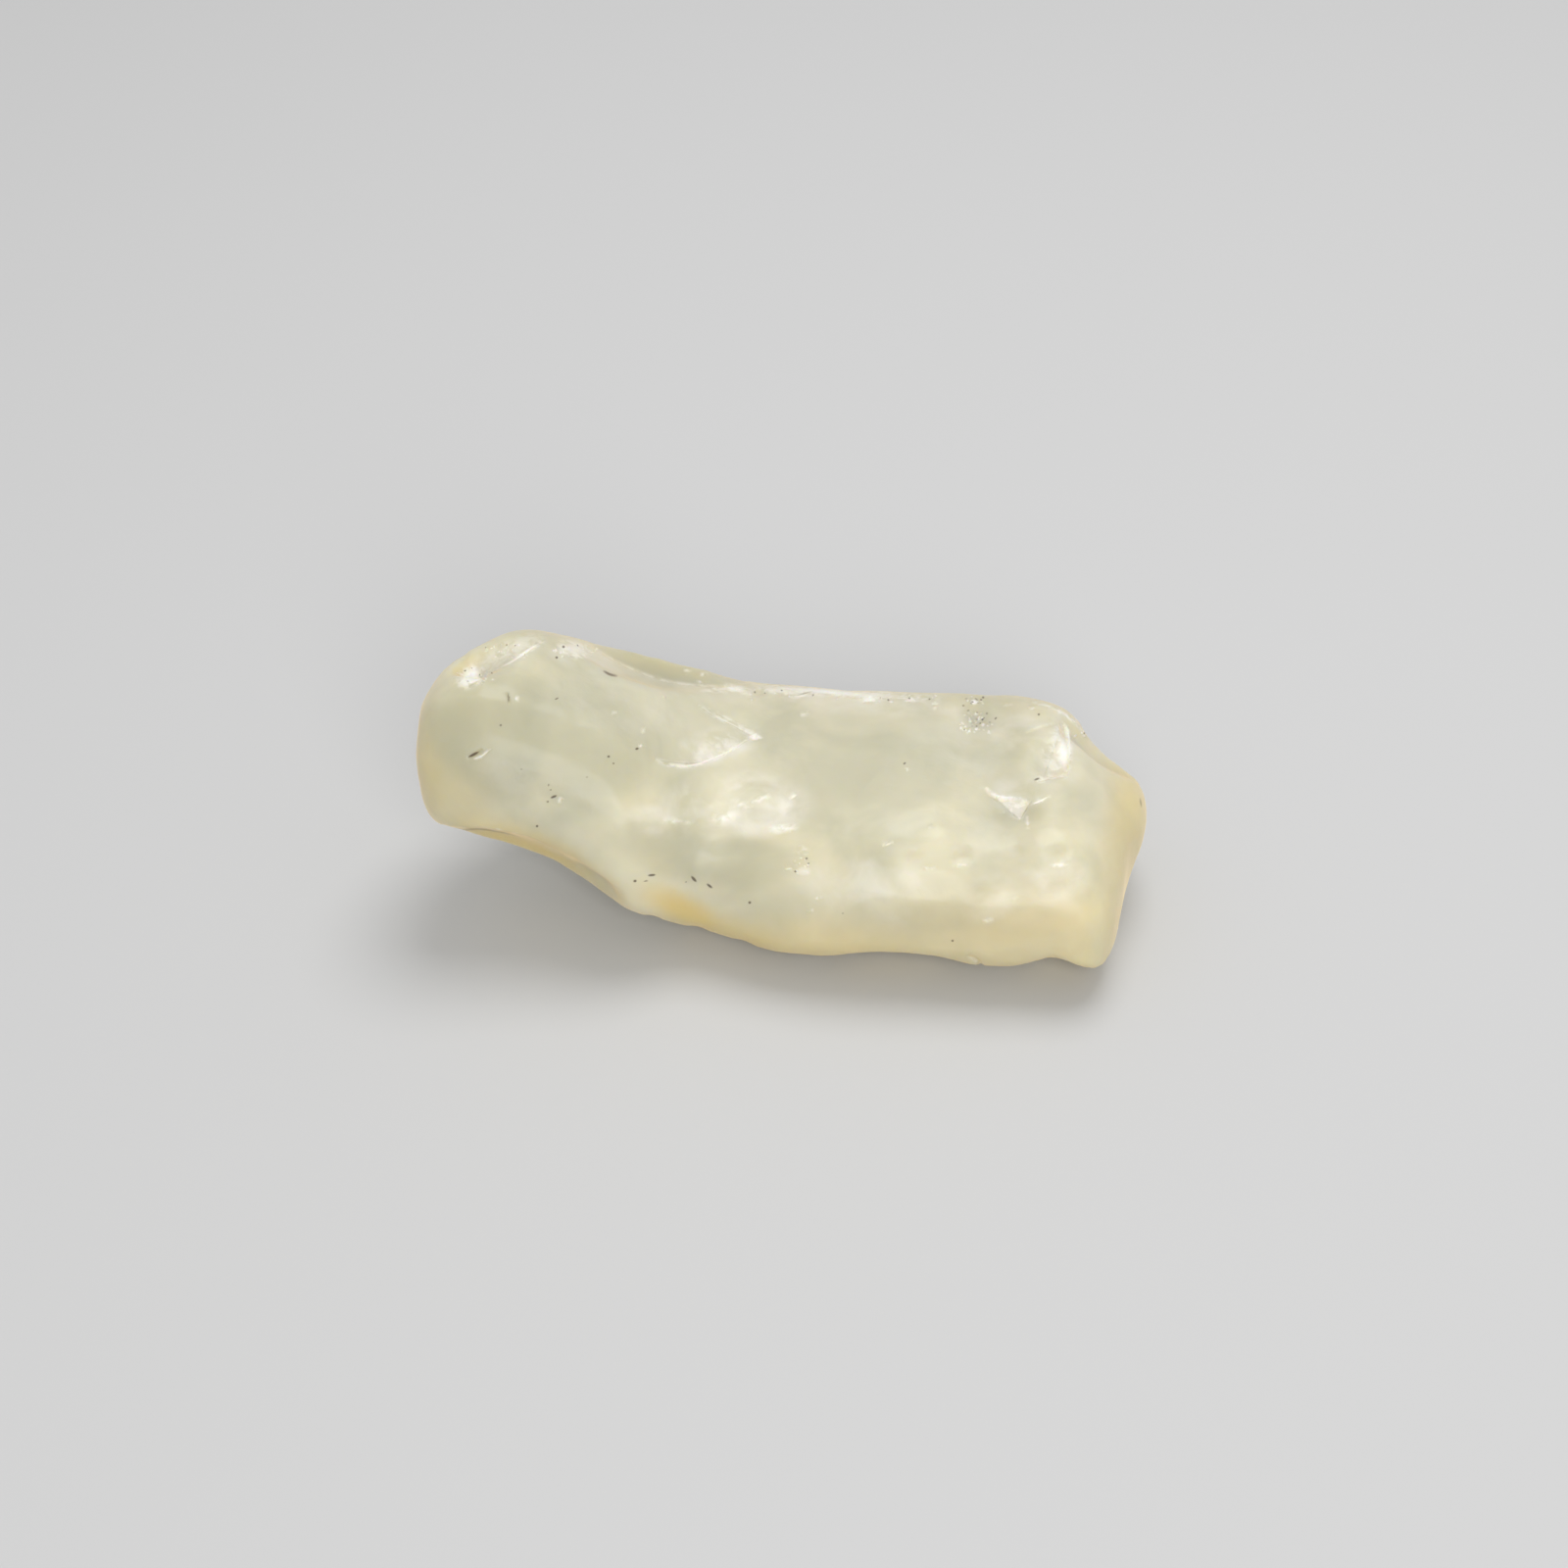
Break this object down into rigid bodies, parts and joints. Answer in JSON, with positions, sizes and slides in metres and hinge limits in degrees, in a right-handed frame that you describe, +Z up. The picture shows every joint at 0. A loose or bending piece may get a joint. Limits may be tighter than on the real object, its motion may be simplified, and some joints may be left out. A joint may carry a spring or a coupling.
{
  "type": "raw desert glass stone",
  "caption": "Raw Libyan desert glass: a long, wind-worn, milky pale yellow natural glass stone with a raised end, flake hollows, small chips and a flat underside.",
  "frame": {"origin": "middle of the stone's footprint, on the surface that it lies on", "axes": "+X along the stone towards its low right end, +Y away from the viewer of the picture, +Z up"},
  "size_m": [0.0404, 0.02, 0.0155],
  "materials": {
    "desert_glass": "milky, translucent, wind-worn with a waxy gloss"
  },
  "bodies": {
    "root": {"desert_glass": "desert_glass"}
  },
  "joints": []
}
